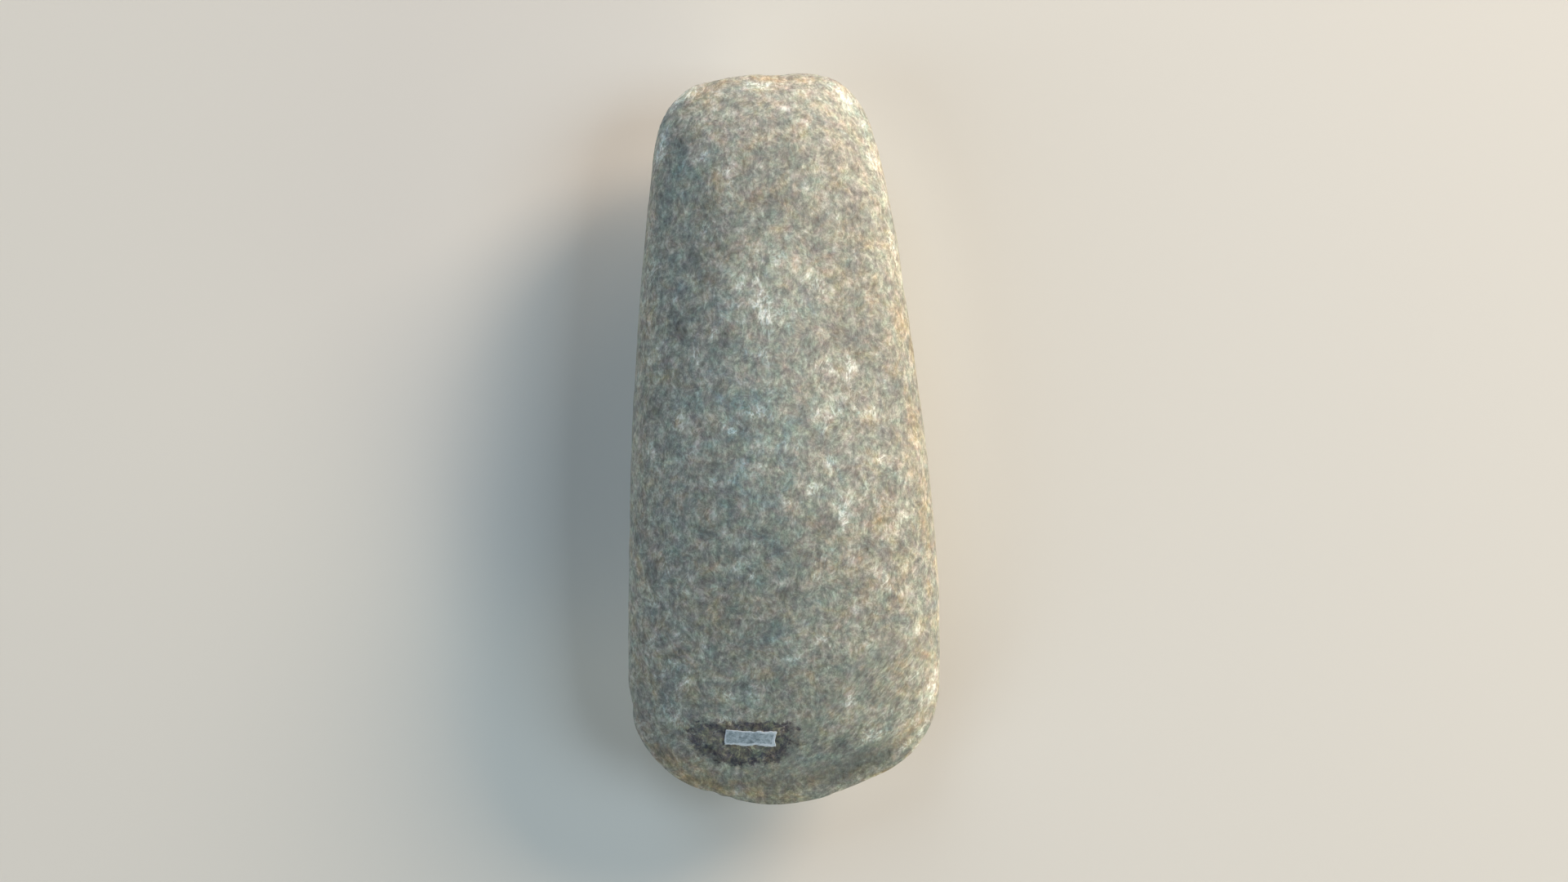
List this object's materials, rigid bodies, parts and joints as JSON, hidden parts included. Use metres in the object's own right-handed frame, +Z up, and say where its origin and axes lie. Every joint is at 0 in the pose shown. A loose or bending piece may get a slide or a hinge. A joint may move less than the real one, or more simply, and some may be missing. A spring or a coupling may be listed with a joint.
{
  "type": "polished stone axe head",
  "caption": "Ground and polished stone axe head: a long rounded wedge with a blunt pecked butt and a curved cutting edge, with a small blank paper slip near the edge.",
  "frame": {"origin": "on the surface the axe head lies on, under the middle of its box", "axes": "+Y from the cutting edge to the butt, +Z up through the front face, +X to the right flank as seen from the front with the butt up"},
  "size_m": [0.0638, 0.1496, 0.0384],
  "materials": {
    "stone": "ground smooth and weathered, mottled pale and dark, pecked at the butt, matt with a faint sheen",
    "paper": "thin blank paper slip, varnished over and slightly grey"
  },
  "bodies": {
    "root": {"axe_head": "stone", "paper_slip": "paper"}
  },
  "joints": []
}
